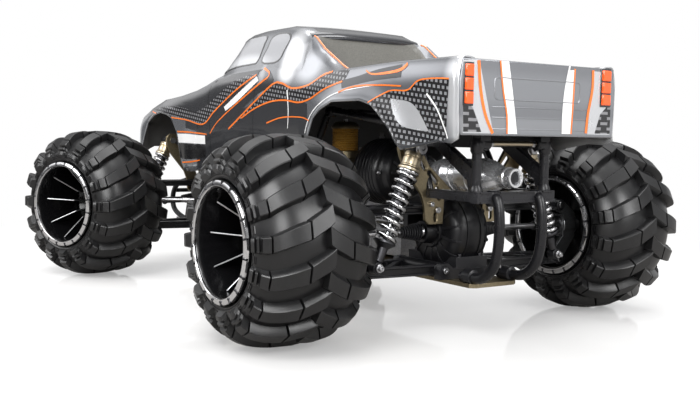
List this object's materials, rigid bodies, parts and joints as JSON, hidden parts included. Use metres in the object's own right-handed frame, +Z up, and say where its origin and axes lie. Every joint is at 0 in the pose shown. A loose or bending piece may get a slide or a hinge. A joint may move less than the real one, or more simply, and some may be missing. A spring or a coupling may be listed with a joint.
{
  "type": "radio-controlled monster truck",
  "caption": "Large-scale radio-controlled monster truck with pickup body, lugged tyres, sprung double wishbones, steering and engine drive.",
  "frame": {"origin": "on the ground under the middle of the truck, midway between the axles", "axes": "+X to the truck's left, +Y to its rear, +Z up; the front wheels rest turned 22 degrees to the left"},
  "size_m": [0.561, 0.7664, 0.311],
  "materials": {
    "tyre_rubber": "matt moulded rubber",
    "rim_black": "glossy black nylon",
    "black_nylon": "satin black nylon",
    "knuckle_alloy": "grey alloy",
    "steel": "turned steel",
    "chrome": "bright chrome",
    "gold_alloy": "gold anodised",
    "chassis_alloy": "anodised plate",
    "engine_alloy": "cast alloy",
    "black_steel": "black powder coat",
    "shell_paint": "grey metallic with black and orange",
    "tank_plastic": "milky",
    "spring_chrome": "chromed wire"
  },
  "bodies": {
    "chassis": {"chassis_plate": "chassis_alloy", "side_guards": "black_nylon", "front_gearbox": "black_nylon", "rear_gearbox": "black_nylon", "shock_towers": "gold_alloy", "fasteners": "steel", "engine": "engine_alloy", "fan_shroud": "black_nylon", "exhaust_pipe": "chrome", "fuel_tank": "tank_plastic", "radio_tray": "black_nylon", "roll_cage": "black_steel", "body_shell": "shell_paint", "rear_bumper": "black_nylon", "front_bumper": "black_nylon"},
    "centre_drive": {"centre_drive": "steel"},
    "pull_handle": {"pull_handle": "black_nylon"},
    "bellcrank_left": {"bellcrank_left": "steel"},
    "bellcrank_right": {"bellcrank_right": "steel"},
    "drag_link": {"drag_link": "gold_alloy"},
    "track_rod_left": {"track_rod_left": "gold_alloy"},
    "track_rod_right": {"track_rod_right": "gold_alloy"},
    "lower_arm_front_left": {"lower_arm_front_left": "black_nylon"},
    "upper_arm_front_left": {"upper_arm_front_left": "black_nylon"},
    "hub_carrier_front_left": {"hub_carrier_front_left": "black_nylon"},
    "drive_shaft_front_left": {"drive_shaft_front_left": "steel"},
    "shock_body_front_left": {"shock_body_front_left": "gold_alloy", "spring_front_left": "spring_chrome"},
    "shock_rod_front_left": {"shock_rod_front_left": "steel"},
    "wheel_front_left": {"tyre_front_left": "tyre_rubber", "rim_front_left": "rim_black"},
    "steering_knuckle_front_left": {"steering_knuckle_front_left": "knuckle_alloy"},
    "lower_arm_front_right": {"lower_arm_front_right": "black_nylon"},
    "upper_arm_front_right": {"upper_arm_front_right": "black_nylon"},
    "hub_carrier_front_right": {"hub_carrier_front_right": "black_nylon"},
    "drive_shaft_front_right": {"drive_shaft_front_right": "steel"},
    "shock_body_front_right": {"shock_body_front_right": "gold_alloy", "spring_front_right": "spring_chrome"},
    "shock_rod_front_right": {"shock_rod_front_right": "steel"},
    "wheel_front_right": {"tyre_front_right": "tyre_rubber", "rim_front_right": "rim_black"},
    "steering_knuckle_front_right": {"steering_knuckle_front_right": "knuckle_alloy"},
    "lower_arm_rear_left": {"lower_arm_rear_left": "black_nylon"},
    "upper_arm_rear_left": {"upper_arm_rear_left": "black_nylon"},
    "hub_carrier_rear_left": {"hub_carrier_rear_left": "black_nylon"},
    "drive_shaft_rear_left": {"drive_shaft_rear_left": "steel"},
    "shock_body_rear_left": {"shock_body_rear_left": "gold_alloy", "spring_rear_left": "spring_chrome"},
    "shock_rod_rear_left": {"shock_rod_rear_left": "steel"},
    "wheel_rear_left": {"tyre_rear_left": "tyre_rubber", "rim_rear_left": "rim_black"},
    "lower_arm_rear_right": {"lower_arm_rear_right": "black_nylon"},
    "upper_arm_rear_right": {"upper_arm_rear_right": "black_nylon"},
    "hub_carrier_rear_right": {"hub_carrier_rear_right": "black_nylon"},
    "drive_shaft_rear_right": {"drive_shaft_rear_right": "steel"},
    "shock_body_rear_right": {"shock_body_rear_right": "gold_alloy", "spring_rear_right": "spring_chrome"},
    "shock_rod_rear_right": {"shock_rod_rear_right": "steel"},
    "wheel_rear_right": {"tyre_rear_right": "tyre_rubber", "rim_rear_right": "rim_black"}
  },
  "joints": [
    {"name": "suspension_front_left", "type": "hinge", "parent": "chassis", "child": "lower_arm_front_left", "pos_m": [0.034, -0.26, 0.06], "axis": [0, -1, 0], "range_deg": [-11, 13], "stiffness_Nm_per_rad": 22, "springref_deg": -9.17},
    {"name": "upper_arm_front_left_swing", "type": "hinge", "parent": "chassis", "child": "upper_arm_front_left", "pos_m": [0.034, -0.26, 0.118], "axis": [0, -1, 0], "range_deg": [-11, 13]},
    {"name": "drive_shaft_front_left_swing", "type": "hinge", "parent": "chassis", "child": "drive_shaft_front_left", "pos_m": [0.034, -0.26, 0.095], "axis": [0, -1, 0], "range_deg": [-11, 13]},
    {"name": "hub_carrier_front_left_pivot", "type": "hinge", "parent": "lower_arm_front_left", "child": "hub_carrier_front_left", "pos_m": [0.142, -0.26, 0.06], "axis": [0, -1, 0], "range_deg": [-13, 11]},
    {"name": "shock_front_left_tilt", "type": "hinge", "parent": "chassis", "child": "shock_body_front_left", "pos_m": [0.072, -0.293, 0.178], "axis": [0, -1, 0], "range_deg": [-2.1, 2.5]},
    {"name": "shock_front_left_travel", "type": "slide", "parent": "shock_body_front_left", "child": "shock_rod_front_left", "axis": [0.3714, 0, -0.9285], "range_m": [-0.018, 0.0152], "deforming": ["spring_front_left"]},
    {"name": "knuckle_front_left_turn", "type": "hinge", "parent": "hub_carrier_front_left", "child": "steering_knuckle_front_left", "pos_m": [0.142, -0.26, 0.095], "axis": [0, 0, 1], "range_deg": [-45.5, 1.5]},
    {"name": "wheel_front_left_spin", "type": "hinge", "parent": "steering_knuckle_front_left", "child": "wheel_front_left", "pos_m": [0.19717, -0.23771, 0.095], "axis": [0.9272, 0.3746, 0], "continuous": true},
    {"name": "suspension_front_right", "type": "hinge", "parent": "chassis", "child": "lower_arm_front_right", "pos_m": [-0.034, -0.26, 0.06], "axis": [0, 1, 0], "range_deg": [-11, 13], "stiffness_Nm_per_rad": 22, "springref_deg": -9.17},
    {"name": "upper_arm_front_right_swing", "type": "hinge", "parent": "chassis", "child": "upper_arm_front_right", "pos_m": [-0.034, -0.26, 0.118], "axis": [0, 1, 0], "range_deg": [-11, 13]},
    {"name": "drive_shaft_front_right_swing", "type": "hinge", "parent": "chassis", "child": "drive_shaft_front_right", "pos_m": [-0.034, -0.26, 0.095], "axis": [0, 1, 0], "range_deg": [-11, 13]},
    {"name": "hub_carrier_front_right_pivot", "type": "hinge", "parent": "lower_arm_front_right", "child": "hub_carrier_front_right", "pos_m": [-0.142, -0.26, 0.06], "axis": [0, 1, 0], "range_deg": [-13, 11]},
    {"name": "shock_front_right_tilt", "type": "hinge", "parent": "chassis", "child": "shock_body_front_right", "pos_m": [-0.072, -0.293, 0.178], "axis": [0, 1, 0], "range_deg": [-2.1, 2.5]},
    {"name": "shock_front_right_travel", "type": "slide", "parent": "shock_body_front_right", "child": "shock_rod_front_right", "axis": [-0.3714, 0, -0.9285], "range_m": [-0.018, 0.0152], "deforming": ["spring_front_right"]},
    {"name": "knuckle_front_right_turn", "type": "hinge", "parent": "hub_carrier_front_right", "child": "steering_knuckle_front_right", "pos_m": [-0.142, -0.26, 0.095], "axis": [0, 0, 1], "range_deg": [-45.5, 1.5]},
    {"name": "wheel_front_right_spin", "type": "hinge", "parent": "steering_knuckle_front_right", "child": "wheel_front_right", "pos_m": [-0.19717, -0.28229, 0.095], "axis": [0.9272, 0.3746, 0], "continuous": true},
    {"name": "suspension_rear_left", "type": "hinge", "parent": "chassis", "child": "lower_arm_rear_left", "pos_m": [0.034, 0.26, 0.06], "axis": [0, -1, 0], "range_deg": [-11, 13], "stiffness_Nm_per_rad": 22, "springref_deg": -9.17},
    {"name": "upper_arm_rear_left_swing", "type": "hinge", "parent": "chassis", "child": "upper_arm_rear_left", "pos_m": [0.034, 0.26, 0.118], "axis": [0, -1, 0], "range_deg": [-11, 13]},
    {"name": "drive_shaft_rear_left_swing", "type": "hinge", "parent": "chassis", "child": "drive_shaft_rear_left", "pos_m": [0.034, 0.26, 0.095], "axis": [0, -1, 0], "range_deg": [-11, 13]},
    {"name": "hub_carrier_rear_left_pivot", "type": "hinge", "parent": "lower_arm_rear_left", "child": "hub_carrier_rear_left", "pos_m": [0.142, 0.26, 0.06], "axis": [0, -1, 0], "range_deg": [-13, 11]},
    {"name": "shock_rear_left_tilt", "type": "hinge", "parent": "chassis", "child": "shock_body_rear_left", "pos_m": [0.072, 0.293, 0.178], "axis": [0, -1, 0], "range_deg": [-2.1, 2.5]},
    {"name": "shock_rear_left_travel", "type": "slide", "parent": "shock_body_rear_left", "child": "shock_rod_rear_left", "axis": [0.3714, 0, -0.9285], "range_m": [-0.018, 0.0152], "deforming": ["spring_rear_left"]},
    {"name": "wheel_rear_left_spin", "type": "hinge", "parent": "hub_carrier_rear_left", "child": "wheel_rear_left", "pos_m": [0.2015, 0.26, 0.095], "axis": [1, 0, 0], "continuous": true},
    {"name": "suspension_rear_right", "type": "hinge", "parent": "chassis", "child": "lower_arm_rear_right", "pos_m": [-0.034, 0.26, 0.06], "axis": [0, 1, 0], "range_deg": [-11, 13], "stiffness_Nm_per_rad": 22, "springref_deg": -9.17},
    {"name": "upper_arm_rear_right_swing", "type": "hinge", "parent": "chassis", "child": "upper_arm_rear_right", "pos_m": [-0.034, 0.26, 0.118], "axis": [0, 1, 0], "range_deg": [-11, 13]},
    {"name": "drive_shaft_rear_right_swing", "type": "hinge", "parent": "chassis", "child": "drive_shaft_rear_right", "pos_m": [-0.034, 0.26, 0.095], "axis": [0, 1, 0], "range_deg": [-11, 13]},
    {"name": "hub_carrier_rear_right_pivot", "type": "hinge", "parent": "lower_arm_rear_right", "child": "hub_carrier_rear_right", "pos_m": [-0.142, 0.26, 0.06], "axis": [0, 1, 0], "range_deg": [-13, 11]},
    {"name": "shock_rear_right_tilt", "type": "hinge", "parent": "chassis", "child": "shock_body_rear_right", "pos_m": [-0.072, 0.293, 0.178], "axis": [0, 1, 0], "range_deg": [-2.1, 2.5]},
    {"name": "shock_rear_right_travel", "type": "slide", "parent": "shock_body_rear_right", "child": "shock_rod_rear_right", "axis": [-0.3714, 0, -0.9285], "range_m": [-0.018, 0.0152], "deforming": ["spring_rear_right"]},
    {"name": "wheel_rear_right_spin", "type": "hinge", "parent": "hub_carrier_rear_right", "child": "wheel_rear_right", "pos_m": [-0.2015, 0.26, 0.095], "axis": [1, 0, 0], "continuous": true},
    {"name": "steering", "type": "hinge", "parent": "chassis", "child": "bellcrank_left", "pos_m": [0.02, -0.213, 0.101], "axis": [0, 0, 1], "range_deg": [-45.5, 1.5]},
    {"name": "bellcrank_right_turn", "type": "hinge", "parent": "chassis", "child": "bellcrank_right", "pos_m": [-0.02, -0.213, 0.101], "axis": [0, 0, 1], "range_deg": [-45.5, 1.5]},
    {"name": "drag_link_pivot", "type": "hinge", "parent": "bellcrank_left", "child": "drag_link", "pos_m": [0.00876, -0.18518, 0.101], "axis": [0, 0, 1], "range_deg": [-1.5, 45.5]},
    {"name": "track_rod_left_swing", "type": "hinge", "parent": "drag_link", "child": "track_rod_left", "pos_m": [0.02276, -0.18518, 0.097], "axis": [0, -1, 0], "range_deg": [-11, 13]},
    {"name": "track_rod_right_swing", "type": "hinge", "parent": "drag_link", "child": "track_rod_right", "pos_m": [-0.04524, -0.18518, 0.097], "axis": [0, 1, 0], "range_deg": [-11, 13]},
    {"name": "centre_drive_spin", "type": "hinge", "parent": "chassis", "child": "centre_drive", "pos_m": [0, 0, 0.095], "axis": [0, 1, 0], "continuous": true},
    {"name": "starter_pull", "type": "slide", "parent": "chassis", "child": "pull_handle", "axis": [-1, 0, 0], "range_m": [0, 0.06]}
  ],
  "couplings": [
    {"joint": "upper_arm_front_left_swing", "follows": "suspension_front_left", "ratio": 1},
    {"joint": "drive_shaft_front_left_swing", "follows": "suspension_front_left", "ratio": 1},
    {"joint": "hub_carrier_front_left_pivot", "follows": "suspension_front_left", "ratio": -1},
    {"joint": "shock_front_left_tilt", "follows": "suspension_front_left", "ratio": 0.186},
    {"joint": "shock_front_left_travel", "follows": "suspension_front_left", "m_per_rad": -0.079},
    {"joint": "knuckle_front_left_turn", "follows": "steering", "ratio": 1},
    {"joint": "upper_arm_front_right_swing", "follows": "suspension_front_right", "ratio": 1},
    {"joint": "drive_shaft_front_right_swing", "follows": "suspension_front_right", "ratio": 1},
    {"joint": "hub_carrier_front_right_pivot", "follows": "suspension_front_right", "ratio": -1},
    {"joint": "shock_front_right_tilt", "follows": "suspension_front_right", "ratio": 0.186},
    {"joint": "shock_front_right_travel", "follows": "suspension_front_right", "m_per_rad": -0.079},
    {"joint": "knuckle_front_right_turn", "follows": "steering", "ratio": 1},
    {"joint": "upper_arm_rear_left_swing", "follows": "suspension_rear_left", "ratio": 1},
    {"joint": "drive_shaft_rear_left_swing", "follows": "suspension_rear_left", "ratio": 1},
    {"joint": "hub_carrier_rear_left_pivot", "follows": "suspension_rear_left", "ratio": -1},
    {"joint": "shock_rear_left_tilt", "follows": "suspension_rear_left", "ratio": 0.186},
    {"joint": "shock_rear_left_travel", "follows": "suspension_rear_left", "m_per_rad": -0.079},
    {"joint": "upper_arm_rear_right_swing", "follows": "suspension_rear_right", "ratio": 1},
    {"joint": "drive_shaft_rear_right_swing", "follows": "suspension_rear_right", "ratio": 1},
    {"joint": "hub_carrier_rear_right_pivot", "follows": "suspension_rear_right", "ratio": -1},
    {"joint": "shock_rear_right_tilt", "follows": "suspension_rear_right", "ratio": 0.186},
    {"joint": "shock_rear_right_travel", "follows": "suspension_rear_right", "m_per_rad": -0.079},
    {"joint": "bellcrank_right_turn", "follows": "steering", "ratio": 1},
    {"joint": "drag_link_pivot", "follows": "steering", "ratio": -1},
    {"joint": "track_rod_left_swing", "follows": "suspension_front_left", "ratio": 1},
    {"joint": "track_rod_right_swing", "follows": "suspension_front_right", "ratio": 1}
  ]
}
